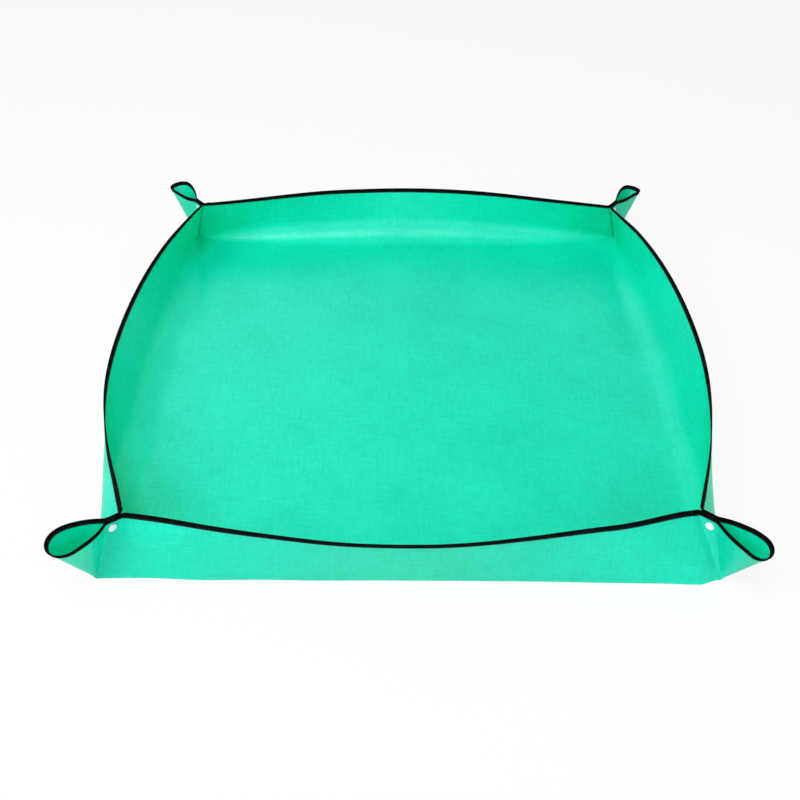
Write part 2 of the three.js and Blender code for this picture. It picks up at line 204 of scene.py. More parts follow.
def make_object(name, points, faces, flat=None, normals=None):
    """A smooth piece from points in millimetres, with their places on the flat sheet or tape."""
    mesh = bpy.data.meshes.new(name)
    mesh.from_pydata((points * METRES).tolist(), [], [list(map(int, face)) for face in faces])
    mesh.polygons.foreach_set("use_smooth", np.ones(len(mesh.polygons), bool))
    if flat is not None:
        place = mesh.attributes.new("flat", "FLOAT_VECTOR", "POINT")
        padded = np.concatenate([flat, np.zeros((len(flat), 1))], 1) * METRES
        place.data.foreach_set("vector", padded.astype(np.float32).ravel())
    if normals is not None:
        mesh.normals_split_custom_set_from_vertices(normals.tolist())
    mesh.update()
    piece = bpy.data.objects.new(name, mesh)
    bpy.context.collection.objects.link(piece)
    return piece


def make_cloth(name, points, normals, flat, thinned=1.0):
    """Closed cloth from a grid: its two faces a thickness apart, joined round the rim."""
    columns, rows = points.shape[:2]
    count = columns * rows
    half = (normals * CLOTH_HALF * thinned).reshape(-1, 3)
    points, normals = points.reshape(-1, 3), normals.reshape(-1, 3)
    faces, rim = grid_faces(columns, rows), rim_order(columns, rows)
    sample = faces[len(faces) // 2]
    first, second, third = points[sample[:3]]
    if np.dot(np.cross(second - first, third - first), normals[sample[0]]) < 0:
        faces, rim = faces[:, ::-1], rim[::-1]
    after = np.roll(rim, -1)
    edge = np.stack([after, rim, rim + count, after + count], -1)
    faces = np.concatenate([faces, faces[:, ::-1] + count, edge])
    both = np.concatenate([points + half, points - half])
    both_flat = np.tile(flat.reshape(-1, 2), (2, 1))
    return make_object(name, both, faces, both_flat, np.concatenate([normals, -normals]))


class Finish:
    """One socket of a finish. Sums on it add Math nodes, and node() adds any other kind."""

    def __init__(self, tree, socket=None):
        self.tree = tree
        self.socket = socket

    def node(self, kind, settings=None, sockets=None, output=0):
        made = self.tree.nodes.new("ShaderNode" + kind)
        for key, value in (settings or {}).items():
            setattr(made, key, value)
        for key, value in (sockets or {}).items():
            if isinstance(value, Finish):
                self.tree.links.new(value.socket, made.inputs[key])
            else:
                made.inputs[key].default_value = value
        return Finish(self.tree, made.outputs[output] if made.outputs else None)

    def math(self, operation, *values):
        return self.node("Math", {"operation": operation}, dict(enumerate(values)))

    def mix(self, share, first, second):
        return self.node("Mix", {"data_type": "RGBA"}, {0: share, 6: first, 7: second}, 2)

    def ranged(self, low, high, to_low=0.0, to_high=1.0):
        return self.node("MapRange", {"clamp": True}, {0: self, 1: low, 2: high, 3: to_low, 4: to_high})

    def flat_place(self):
        """Where a point lies on the flat sheet, or along and round a tape or a thread."""
        return self.node("Attribute", {"attribute_name": "flat"}, output="Vector")

    def part(self, axis):
        return self.node("SeparateXYZ", None, {0: self}, axis)

    def noise(self, scale, detail, dimensions="3D", **others):
        sockets = {"Vector": self, "Scale": scale, "Detail": detail, **others}
        return self.node("TexNoise", {"noise_dimensions": dimensions}, sockets)

    def bump(self, strength, distance):
        return self.node("Bump", None, {"Strength": strength, "Distance": distance, "Height": self})

    def __add__(self, other):
        return self.math("ADD", self, other)

    __radd__ = __add__

    def __mul__(self, other):
        return self.math("MULTIPLY", self, other)

    __rmul__ = __mul__

    def __sub__(self, other):
        return self.math("SUBTRACT", self, other)

    def __rsub__(self, other):
        return self.math("SUBTRACT", other, self)

    def __truediv__(self, other):
        return self.math("DIVIDE", self, other)

    def __rtruediv__(self, other):
        return self.math("DIVIDE", other, self)


def new_finish(name):
    """A bare material: the start of its nodes, and what its shader's sockets are set through."""
    material = bpy.data.materials.new(name)
    material.use_nodes = True
    tree = material.node_tree
    shader = tree.nodes["Principled BSDF"]

    def set_shader(**sockets):
        for key, value in sockets.items():
            socket = shader.inputs[key.replace("_", " ")]
            if isinstance(value, Finish):
                tree.links.new(value.socket, socket)
            else:
                socket.default_value = value
    return material, Finish(tree), set_shader


CLOTH_DARK = (0.0008, 0.700, 0.490, 1)
CLOTH_PALE = (0.0040, 0.940, 0.710, 1)
CLOTH_CREASED = (0.0500, 0.880, 0.690, 1)
CLOTH_THROUGH = (0.0, 0.85, 0.28, 1)
THROUGH_SHARE = 0.30
CLOTH_ROUGHNESS = (0.42, 0.27)
CLOTH_SPECULAR = 0.45
CLOTH_BUMP = (0.14, 0.0006)
WEAVE_RELIEF, SHADE_RELIEF = 0.6, 0.4
SOFT_DETAIL, FINE_DETAIL = 2.0, 3.0

# The weave, in counts to a metre: tapes and the streaks along one, bands of tapes and the breaks along
# one, mottles, and patches of sheen.
TAPES, STREAKS = 430.0, 26.0
BANDS, BAND_BREAKS = 150.0, 38.0
MOTTLES = 190.0
PATCHES, PATCH_ROUGHNESS = 9.0, 0.55
TAPE_WANDER = 0.0009
CROSSING = 0.35
GROOVE, GROOVE_PAINTED_SHADE = 0.5, 0.6
TAPE_TONE, BAND_TONE, MOTTLE_TONE, PATCH_TONE = 0.30, 0.30, 0.20, 0.20
TONE_RANGE = (0.36, 0.64)

# The pale crease up each pinched line, which is strongest at the front right corner
TUCK = math.radians(22.0)
CREASE_WIDTH = (6.0, 2.2)
CREASE_START = 0.012
CREASE_PATCHES = (0.30, 0.60)
CREASE_STRENGTH, FAINT_CREASE = 0.70, 0.3
CORNER_CHANGE = 0.1


def woven_finish(name):
    """Plain weave of flat tapes: each tape its own shade, with patches of sheen across the sheet."""
    material, start, shader = new_finish(name)
    place = start.flat_place()
    along_x, along_y = place.part("X"), place.part("Y")
    mottles = place.noise(MOTTLES, FINE_DETAIL, "2D")
    wander = (mottles - 0.5) * TAPE_WANDER
    across_warp = start.math("SINE", (along_x + wander) * (TAPES * math.pi))
    across_weft = start.math("SINE", (along_y + wander) * (TAPES * math.pi))
    over = (across_warp * across_weft).ranged(-CROSSING, CROSSING)
    warp_round = start.math("ABSOLUTE", across_warp)
    weft_round = start.math("ABSOLUTE", across_weft)
    weave = warp_round * over + weft_round * (1 - over)

    def streaks(scale_x, scale_y, detail):
        spread = start.node("VectorMath", {"operation": "MULTIPLY"}, {0: place, 1: (scale_x, scale_y, 1)})
        return spread.noise(1.0, detail, "2D")

    warp_shade = streaks(TAPES, STREAKS, SOFT_DETAIL)
    weft_shade = streaks(STREAKS, TAPES, SOFT_DETAIL)
    tape_shade = warp_shade * over + weft_shade * (1 - over)
    warp_bands = streaks(BANDS, BAND_BREAKS, FINE_DETAIL)
    weft_bands = streaks(BAND_BREAKS, BANDS, FINE_DETAIL)
    bands = warp_bands * 0.5 + weft_bands * 0.5
    patches = place.noise(PATCHES, FINE_DETAIL, "2D", Roughness=PATCH_ROUGHNESS)
    tone = tape_shade * TAPE_TONE + bands * BAND_TONE + mottles * MOTTLE_TONE + patches * PATCH_TONE
    tone = tone.ranged(*TONE_RANGE)

    out_x, out_y = (start.math("ABSOLUTE", along) - FLOOR_HALF * METRES for along in (along_x, along_y))
    beside, beyond = start.math("MINIMUM", out_x, out_y), start.math("MAXIMUM", out_x, out_y)
    from_post = start.math("ABSOLUTE", beside * math.cos(TUCK) + beyond * math.sin(TUCK))
    wide = beyond.ranged(0.0, WALL_HEIGHT * METRES, *(width * METRES for width in CREASE_WIDTH))
    crease = start.math("MAXIMUM", 1 - from_post / wide, 0.0) * beyond.ranged(0.0, CREASE_START)
    to_right = along_x.ranged(-CORNER_CHANGE, CORNER_CHANGE)
    to_front = along_y.ranged(-CORNER_CHANGE, CORNER_CHANGE, 1.0, 0.0)
    strength = (to_right * to_front).ranged(0.0, 1.0, FAINT_CREASE, 1.0)
    crease = crease * patches.ranged(*CREASE_PATCHES) * strength

    shaded = start.mix(tone, CLOTH_DARK, CLOTH_PALE)
    # Painted shade: the grooves between the tapes are drawn towards the dark green.
    colour = start.mix(weave.ranged(0.0, GROOVE, GROOVE_PAINTED_SHADE, 1.0), CLOTH_DARK, shaded)
    colour = start.mix(crease * CREASE_STRENGTH, colour, CLOTH_CREASED)
    height = weave * WEAVE_RELIEF + tape_shade * SHADE_RELIEF
    shader(Base_Color=colour, Normal=height.bump(*CLOTH_BUMP))
    shader(Roughness=tone.ranged(0.0, 1.0, *CLOTH_ROUGHNESS), Specular_IOR_Level=CLOTH_SPECULAR)
    through = start.node("BsdfTranslucent", None, {"Color": CLOTH_THROUGH})
    solid = Finish(start.tree, start.tree.nodes["Principled BSDF"].outputs[0])
    both = start.node("MixShader", None, {0: THROUGH_SHARE, 1: solid, 2: through})
    start.tree.links.new(both.socket, start.tree.nodes["Material Output"].inputs["Surface"])
    return material


cloth_finish = woven_finish("woven_green_cloth")


def dress(piece, material):
    """Gives a piece its finish, in a new material slot."""
    piece.data.materials.append(material)


def laid(flat):
    """Places of the flat sheet that lie on the ground, half a thickness up."""
    return np.concatenate([flat, np.full(flat.shape[:-1] + (1,), CLOTH_HALF)], -1), flat


def floor_surface(column, row):
    """The floor, drawn flat: column to the right and row to the front, in millimetres."""
    return laid(np.stack(np.broadcast_arrays(column, -row), -1))


middle_half = FLOOR_HALF - FOLD_STRIP
floor_lines = np.linspace(-middle_half, middle_half, FLOOR_CELLS + 1)
floor_cloth = rippled(floor_surface, *FLOOR_STEPS)
floor_skin = skin(floor_cloth, floor_lines[:, None], floor_lines[None, :], FLOOR_STEPS)
floor_piece = make_cloth("cloth_floor", *floor_skin)
dress(floor_piece, cloth_finish)
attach(floor_piece, "floor")
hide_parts("floor_panel")


# Walls: the sheet's four margins, turned up along soft folds and drawn in at their ends, so that
# the middle of each edge bows outwards. A strip of floor goes with each, mitred at the corners.
LAYER_OFFSET = 1.85
FOLD_END = FLOOR_HALF - LAYER_OFFSET * math.sqrt(2)
POST_LENGTH = WALL_HEIGHT / math.cos(TUCK)
TAPE_WIDTH = 7.0
END_FAN = 12.0
WALL_COLUMNS, COLUMNS_CLOSER = 121, 1.25
WALL_ROWS = 13
FOLD_ROWS = 15
STRIP_ROWS = 5
HEM_ROWS = np.linspace(0.0, TAPE_WIDTH, 5)
WALL_STEPS = (1e-3, 0.25)
FOLD_SHARPEN = 6.0
LEAST_REACH = 1e-6

# Each corner: how far it leans in, how widely its ear's loop opens, and how far the ear hangs.
Corner = namedtuple("Corner", "lean splay hang")
CORNERS = {
    "front_left": Corner(34.4, 44.0, 4.0),
    "front_right": Corner(32.1, 30.0, 0.0),
    "back_left": Corner(25.6, 30.0, -5.0),
    "back_right": Corner(26.5, 24.0, -6.0),
}
# Each wall: its quarter turn, its rise, the bow of its edge, the reach of its fold, its two ends.
Wall = namedtuple("Wall", "turn rise bow fold_reach ends")
WALLS = {
    "back": Wall(0, 77.0, 3.9, 38.0, ("left", "right")),
    "left": Wall(90, 60.8, 0.9, 34.0, ("front", "back")),
    "front": Wall(180, 77.4, 1.3, 5.0, ("right", "left")),
    "right": Wall(-90, 60.8, 0.9, 30.0, ("back", "front")),
}
Post = namedtuple("Post", "side along across off foot top")


def corner_of(wall, number):
    """The corner at a wall's first or second end."""
    end = WALLS[wall].ends[number]
    return CORNERS[wall + "_" + end if wall in ("front", "back") else end + "_" + wall]


def corner_post(wall, number):
    """The pinched line at one end of a wall, from the floor's corner up to the sheet's edge."""
    side = (-1, 1)[number]
    lean = math.radians(corner_of(wall, number).lean)
    diagonal = np.array([side, 1, 0]) / math.sqrt(2)
    along = -math.sin(lean) * diagonal + math.cos(lean) * UP
    across = math.cos(lean) * diagonal + math.sin(lean) * UP
    off = np.array([-side, 1, 0]) / math.sqrt(2)
    foot = np.array([side * FOLD_END, FLOOR_HALF, CLOTH_HALF])
    return Post(side, along, across, off, foot, foot + POST_LENGTH * along)


def wall_line(wall, along_fold):
    """The straight line up a wall at a share of its fold: its foot, its top and its angle."""
    rise, bow = math.radians(WALLS[wall].rise), WALLS[wall].bow
    tops = [corner_post(wall, number).top for number in (0, 1)]
    out = [top[1] - FLOOR_HALF for top in tops]
    up = [top[2] - CLOTH_HALF for top in tops]
    near = along_fold < 0
    end_angle = np.where(near, math.atan2(up[0], out[0]), math.atan2(up[1], out[1]))
    end_length = np.where(near, math.hypot(up[0], out[0]), math.hypot(up[1], out[1]))
    bowed = (np.hypot(1, bow * along_fold) - 1) / (math.hypot(1, bow) - 1)
    angle = rise + (end_angle - rise) * bowed
    length = WALL_HEIGHT + (end_length - WALL_HEIGHT) * bowed
    level = np.full_like(angle, FLOOR_HALF), np.full_like(angle, CLOTH_HALF)
    foot = np.stack([along_fold * FOLD_END, *level], -1)
    x = tops[0][0] + (tops[1][0] - tops[0][0]) * (along_fold + 1) / 2
    top = np.stack([x, FLOOR_HALF + length * np.cos(angle), CLOTH_HALF + length * np.sin(angle)], -1)
    return foot, top, angle


def wall_point(wall, along_fold, row):
    """A place on a wall, row millimetres in from its edge on the flat sheet."""
    foot, top, _ = wall_line(wall, along_fold)
    length = np.linalg.norm(top - foot, axis=-1)
    slant = np.hypot(1, along_fold * math.tan(TUCK))
    below = (length - TAPE_WIDTH * slant) * (WALL_HEIGHT - row) / (WALL_HEIGHT - TAPE_WIDTH)
    reach = np.where(row <= TAPE_WIDTH, length - row * slant, below)
    up = WALL_HEIGHT - row
    flat = np.stack([along_fold * (FOLD_END - up * math.tan(TUCK)), FLOOR_HALF + up], -1)
    return foot + (top - foot) * (reach / length)[..., None], flat


def strip_point(column, depth):
    """A place on the strip of floor inside a fold, which ends in the mitre at each corner."""
    chamfer = LAYER_OFFSET / math.sqrt(2)
    end = np.where(depth < chamfer, FOLD_END + depth, FLOOR_HALF - depth)
    return laid(np.stack([column * end, FLOOR_HALF - depth], -1))


def wall_surface(wall):
    """A wall with its fold: column from end to end as -1 to 1, row in from the sheet's edge."""
    def up_wall(column, row):
        """The wall, drawn in towards its edge so that a fan of cloth is left to each ear."""
        share = np.clip(1 - row / WALL_HEIGHT, 0, None)
        return wall_point(wall, column * (1 - END_FAN / FOLD_END * share), row)

    def surface(column, row):
        column, row = np.broadcast_arrays(np.asarray(column, float), np.asarray(row, float))
        reach = np.maximum(WALLS[wall].fold_reach * (1 - np.abs(column) ** FOLD_SHARPEN), LEAST_REACH)
        on_wall, wall_flat = up_wall(column, np.minimum(row, WALL_HEIGHT))
        on_strip, strip_flat = strip_point(column, np.maximum(row - WALL_HEIGHT, 0))
        points = np.where((row <= WALL_HEIGHT)[..., None], on_wall, on_strip)
        flat = np.where((row <= WALL_HEIGHT)[..., None], wall_flat, strip_flat)
        share = (row - WALL_HEIGHT + reach) / (2 * reach)
        from_wall = up_wall(column, WALL_HEIGHT - reach)[0]
        to_floor = strip_point(column, reach)[0]
        foot, _, angle = wall_line(wall, column)
        pull = 2 * share * (1 - share) * np.cos(angle / 2)
        weights = np.stack([(1 - share) ** 2, pull, share ** 2], -1)
        bent = sum(weights[..., k, None] * p for k, p in enumerate((from_wall, foot, to_floor)))
        bent = bent / weights.sum(-1)[..., None]
        in_fold = (np.abs(row - WALL_HEIGHT) < reach)[..., None]
        return np.where(in_fold, bent, points), flat
    return surface


def turned(wall, points):
    """From a wall's own drawing, with its outside towards +Y, to its place round the floor."""
    turn = math.radians(WALLS[wall].turn)
    across, out = points[..., 0].copy(), points[..., 1].copy()
    points = points.copy()
    points[..., 0] = across * math.cos(turn) - out * math.sin(turn)
    points[..., 1] = across * math.sin(turn) + out * math.cos(turn)
    return points


def placed(wall, surface):
    """The surface in the frame, so that ripples run on from one piece of the sheet to the next."""
    def at(column, row):
        points, flat = surface(column, row)
        return turned(wall, points), turned(wall, flat)
    return at


wall_cloth = {wall: rippled(placed(wall, wall_surface(wall)), *WALL_STEPS) for wall in WALLS}
even_columns = np.linspace(-1, 1, WALL_COLUMNS)
wall_columns = np.sign(even_columns) * (1 - (1 - np.abs(even_columns)) ** COLUMNS_CLOSER)
for wall in WALLS:
    fold_reach = WALLS[wall].fold_reach
    rows = np.concatenate([
        HEM_ROWS,
        np.linspace(TAPE_WIDTH, WALL_HEIGHT - fold_reach, WALL_ROWS)[1:-1],
        WALL_HEIGHT + np.linspace(-fold_reach, fold_reach, FOLD_ROWS),
        np.linspace(WALL_HEIGHT + fold_reach, WALL_HEIGHT + FOLD_STRIP, STRIP_ROWS)[1:],
        [WALL_HEIGHT + LAYER_OFFSET / math.sqrt(2)],
    ])
    rows = np.unique(rows.round(6))
    wall_skin = skin(wall_cloth[wall], wall_columns[:, None], rows[None, :], WALL_STEPS)
    piece = make_cloth("cloth_wall_" + wall, *wall_skin)
    dress(piece, cloth_finish)
    fold_at = turned(wall, np.array([0, FLOOR_HALF, 0.0])) * METRES
    wall + "_wall"
    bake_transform(piece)
    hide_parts("wall_" + wall)


# Ears: the corner squares of the sheet, pinched flat by a snap where two walls meet and left to
# open behind it into a round-nosed loop. Each wall carries its half, and the halves meet at the
# nose, where the cloth runs a little past the seam.
EDGE_ROUND = 67.0
EAR_SPAN = math.pi / 4 + TUCK
CAP_RADIUS = 5.75
SNAP_DROP, SNAP_ACROSS = 17.0, 8.15
SNAP_UP = (WALL_HEIGHT - SNAP_DROP - SNAP_ACROSS * math.sin(TUCK)) / math.cos(TUCK)
LAP_MARGIN = 0.8
LAP = math.atan2(SNAP_ACROSS + CAP_RADIUS + LAP_MARGIN, SNAP_UP - CAP_RADIUS)
POST_ROUND = 4.0
POST_BEND = 4.0
FLARE_SHARE = 0.14
SEAM_LAP, LAP_TURN = 1.6, 0.4
BEFORE_POST, BEHIND_POST = (-END_FAN, -8.0), (6.0, 9.0, 13.0)
POST_COLUMNS, NOSE_COLUMNS = 9, 30
EAR_ROWS, ROWS_CLOSER = 17, 0.8
EAR_CUT_OFF = 0.1
APEX_THIN, APEX_REACH = 0.1, 8.0
EAR_STEPS = (0.05, 0.25)


def ear_loop(splay, hang, turn):
    """Half of the loop seen from the floor's corner: flat, flaring, back along its flank, round the nose."""
    flank = (EAR_SPAN - LAP) / (splay + (1 - math.cos(splay)) * math.pi / 2)
    flare, nose = flank * FLARE_SHARE, flank * (1 - math.cos(splay))
    past = np.maximum(turn - LAP, 0)
    flared = np.minimum(past / flare, splay)
    heading = splay - np.clip((past - flare * splay) / (flank - flare), 0, splay)
    round_nose = np.maximum(past - flank * splay, 0) / nose
    swing = (np.minimum(turn, LAP) + flare * np.sin(flared)
             + (flank - flare) * (math.sin(splay) - np.sin(heading)) + nose * np.sin(round_nose))
    width = (flare * (1 - np.cos(flared))
             + (flank - flare) * (np.cos(heading) - math.cos(splay)) - nose * (1 - np.cos(round_nose)))
    share = past / (EAR_SPAN - LAP)
    return swing + hang * np.sin(share * math.pi / 2), width, share


def edge_reach(turn, inset):
    """From the floor's corner out to a line inside the sheet's rounded corner."""
    angle = turn - TUCK
    square = WALL_HEIGHT - EDGE_ROUND
    straight = (WALL_HEIGHT - inset) / np.cos(angle)
    span = square * (np.sin(angle) + np.cos(angle))
    curved = span + np.sqrt(np.maximum(span ** 2 - 2 * square ** 2 + (EDGE_ROUND - inset) ** 2, 0))
    return np.where(np.tan(angle) <= square / (WALL_HEIGHT - inset), straight, curved)


def ear_surface(wall, number):
    """Half an ear: column in millimetres past the pinched line at the edge, row in from the edge."""
    side, along, across, off, foot, _ = corner_post(wall, number)
    _, splay, hang = map(math.radians, corner_of(wall, number))

    def sharp(column, row):
        """The fan of cloth and the half ear, with a sharp turn where they meet."""
        share = np.clip(1 - row / WALL_HEIGHT, 0, None)
        on_wall, wall_flat = wall_point(wall, side * (1 + np.minimum(column, 0) / FOLD_END * share), row)
        turn = np.maximum(column, 0) / POST_LENGTH
        swing, width, drawn = ear_loop(splay, hang, turn)
        below = (edge_reach(turn, np.full_like(row, TAPE_WIDTH))
                 * (WALL_HEIGHT - row) / (WALL_HEIGHT - TAPE_WIDTH))
        reach = np.where(row <= TAPE_WIDTH, edge_reach(turn, np.minimum(row, TAPE_WIDTH)), below)
        ray = ((np.cos(width) * np.cos(swing))[..., None] * along
               + (np.cos(width) * np.sin(swing))[..., None] * across + np.sin(width)[..., None] * off)
        on_ear = foot - LAYER_OFFSET * drawn[..., None] * off + ray * reach[..., None]
        angle = turn - TUCK
        corner = np.array([side * FOLD_END, FLOOR_HALF])
        ear_flat = corner + np.stack([side * np.sin(angle), np.cos(angle)], -1) * reach[..., None]
        on_ear_side = (column > 0)[..., None]
        return np.where(on_ear_side, on_ear, on_wall), np.where(on_ear_side, ear_flat, wall_flat)

    def surface(column, row):
        column, row = np.broadcast_arrays(np.asarray(column, float), np.asarray(row, float))
        points, flat = sharp(column, row)
        share = np.clip((column + POST_ROUND) / (2 * POST_ROUND), 0, 1)[..., None]
        bend = [sharp(np.full_like(column, at), row)[0] for at in (-POST_ROUND, 0.0, POST_ROUND)]
        bent = (1 - share) ** 2 * bend[0] + 2 * share * (1 - share) * bend[1] + share ** 2 * bend[2]
        return np.where((np.abs(column) < POST_ROUND)[..., None], bent, points), flat
    return surface


# The eight half ears, each named for its wall and for the wall that it meets
Ear = namedtuple("Ear", "wall number side name")
ears = [
    Ear(wall, number, (-1, 1)[number], wall + "_" + end)
    for wall in WALLS for number, end in enumerate(WALLS[wall].ends)
]
ear_cloth = {
    ear.name: rippled(placed(ear.wall, ear_surface(ear.wall, ear.number)), *EAR_STEPS) for ear in ears
}
nose_at = EAR_SPAN * POST_LENGTH
ear_columns = np.concatenate([
    BEFORE_POST, np.linspace(-POST_ROUND, POST_ROUND, POST_COLUMNS), BEHIND_POST,
    np.linspace(LAP * POST_LENGTH, nose_at, NOSE_COLUMNS),
])
down_ear = np.linspace(0, 1, EAR_ROWS)[1:] ** ROWS_CLOSER
ear_rows = np.concatenate([HEM_ROWS, TAPE_WIDTH + (WALL_HEIGHT - EAR_CUT_OFF - TAPE_WIDTH) * down_ear])
down_nose = edge_reach(EAR_SPAN, TAPE_WIDTH) * (WALL_HEIGHT - ear_rows) / (WALL_HEIGHT - TAPE_WIDTH)
past_nose = nose_at + POST_LENGTH * np.minimum(SEAM_LAP / down_nose, LAP_TURN)
lapped_columns = np.vstack([np.tile(ear_columns[:, None], len(ear_rows)), past_nose])
apex_thinned = APEX_THIN + (1 - APEX_THIN) * smooth_step(WALL_HEIGHT - ear_rows, 0.0, APEX_REACH)


def blend_ear(piece, ear):
    """Bakes the piece's place into its points; the points either side of the pinched line are worked out but
    not used.
    """
    post = corner_post(ear.wall, ear.number)
    along_wall = np.array([-ear.side, 0, 0.0])
    through = post.across - along_wall
    through = through - np.dot(through, post.along) * post.along
    through = through / np.linalg.norm(through) * POST_BEND
    before = turned(ear.wall, post.foot - through) * METRES
    behind = turned(ear.wall, post.foot + through) * METRES
    ear.wall + "_wall"
    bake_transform(piece)


for ear in ears:
    ear_skin = skin(ear_cloth[ear.name], lapped_columns, ear_rows[None, :], EAR_STEPS, ear.side)
    piece = make_cloth("cloth_ear_" + ear.name, *ear_skin, apex_thinned[None, :, None])
    dress(piece, cloth_finish)
    blend_ear(piece, ear)
    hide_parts("ear_" + ear.name)


# Binding: black woven tape folded in half over the sheet's edge all the way round, and stitched
# through. It turns with the cloth at each pinched corner.
TAPE_SECTION = [
    (7.0, 0.74), (6.6, 0.86), (4.0, 0.92), (1.0, 0.88), (0.2, 0.76), (-0.32, 0.45), (-0.5, 0.0),
    (-0.32, -0.45), (0.2, -0.76), (1.0, -0.88), (4.0, -0.92), (6.6, -0.86), (7.0, -0.74),
    (7.0, -0.28), (0.4, -0.28), (0.1, 0.0), (0.4, 0.28), (7.0, 0.28),
]
TAPE_SMOOTH = math.radians(50)
TAPE_COLOUR = (0.0012, 0.0013, 0.0014, 1)
# The paler grey is painted sheen on the ribs' ridges and on the fuzz.
TAPE_SHEEN = (0.0120, 0.0115, 0.0110, 1)
TAPE_ROUGHNESS = (0.62, 0.80)
TAPE_SPECULAR = 0.03
TAPE_BUMP = (0.5, 0.0003)
RIBS, RIB_SLANT = 1250.0, 0.5
FUZZ = 900.0
SHEEN_PATCHES, SHEEN_PATCH_RANGE = 60.0, (0.45, 0.75)
RIB_RELIEF, FUZZ_RELIEF = 0.7, 0.3
NOISE_RANGE = (0.3, 0.7)


def tape_finish(name):
    """Ribs run across the tape; a painted sheen makes their ridges and the fuzz a little paler, in patches.
    """
    material, start, shader = new_finish(name)
    place = start.flat_place()
    slanted = place.part("X") + place.part("Y") * RIB_SLANT
    ribs = start.math("SINE", slanted * (RIBS * 2 * math.pi)).ranged(-1.0, 1.0)
    fuzz = place.noise(FUZZ, FINE_DETAIL)
    sheen_patches = place.noise(SHEEN_PATCHES, SOFT_DETAIL)
    # Painted sheen: the ridges of the ribs and the fuzz are painted paler, more so in patches.
    painted_sheen = (ribs * 0.5 + fuzz * 0.5) * sheen_patches.ranged(*SHEEN_PATCH_RANGE)
    relief = ribs * RIB_RELIEF + fuzz * FUZZ_RELIEF
    shader(Base_Color=start.mix(painted_sheen, TAPE_COLOUR, TAPE_SHEEN), Normal=relief.bump(*TAPE_BUMP))
    shader(Roughness=fuzz.ranged(*NOISE_RANGE, *TAPE_ROUGHNESS), Specular_IOR_Level=TAPE_SPECULAR)
    return material


binding_finish = tape_finish("black_woven_tape")


def run_length(points):
    """How far along a line of points each of them lies."""
    return np.concatenate([[0], np.cumsum(np.linalg.norm(np.diff(points, axis=0), axis=-1))])


def ring_faces(rings):
    """Four-sided faces from each ring of point numbers to the next ring."""
    faces = []
    for here, there in zip(rings, rings[1:]):
        for place in range(len(here)):
            beside = (place + 1) % len(here)
            faces.append([here[place], there[place], there[beside], here[beside]])
    return faces


def make_tape(name, surface, columns, steps, flip):
    """The tape's section carried along an edge, closed at both ends."""
    section = np.array(TAPE_SECTION)
    points, normals, _ = skin(surface, columns[:, None], section[None, :, 0], steps, flip)
    points = points + normals * section[None, :, 1, None]
    along, around = run_length(points[:, 0]), run_length(section)
    flat = np.stack(np.broadcast_arrays(along[:, None], around[None, :]), -1).reshape(-1, 2)
    rings = np.arange(along.size * around.size).reshape(along.size, around.size).tolist()
    faces = ring_faces(rings) + [rings[0], rings[-1][::-1]]
    if flip > 0:
        faces = [face[::-1] for face in faces]
    piece = make_object(name, points.reshape(-1, 3), faces, flat)
    piece.data.set_sharp_from_angle(angle=TAPE_SMOOTH)
    dress(piece, binding_finish)
    return piece


for wall in WALLS:
    tape = make_tape("binding_wall_" + wall, wall_cloth[wall], wall_columns, WALL_STEPS, 1)
    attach(tape, wall + "_wall")
    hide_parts("wall_binding_" + wall)
for ear in ears:
    tape = make_tape("binding_ear_" + ear.name, ear_cloth[ear.name], ear_columns, EAR_STEPS, ear.side)
    blend_ear(tape, ear)
    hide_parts("ear_binding_" + ear.name)


# Stitching: one row of dark thread near the tape's inner edge, seen on both faces of the cloth.
# Each stitch dips into the tape at its ends.
STITCH_LINE = 5.4
STITCH_PITCH, STITCH_SHARE = 4.0, 0.72
STITCH_RISE = [(-0.5, 0.62), (-0.3, 0.96), (0.3, 0.96), (0.5, 0.62)]
STITCH_SIDES = 5
FINE_STEPS = 1500
THREAD_RADIUS = 0.24
THREAD_COLOUR = (0.030, 0.024, 0.019, 1)
THREAD_PALE = (0.070, 0.056, 0.043, 1)
THREAD_ROUGHNESS = (0.5, 0.7)
TWISTS = 700.0
WALL_STITCHED = (-0.999, 0.999)
EAR_STITCHED = (-END_FAN, nose_at)


def thread_finish(name):
    """Twisted thread, a little paler where the twist catches the light."""
    material, start, shader = new_finish(name)
    twist = start.flat_place().noise(TWISTS, SOFT_DETAIL)
    shader(Base_Color=start.mix(twist, THREAD_COLOUR, THREAD_PALE))
    shader(Roughness=twist.ranged(*NOISE_RANGE, *THREAD_ROUGHNESS))
    return material


stitch_finish = thread_finish("dark_thread")


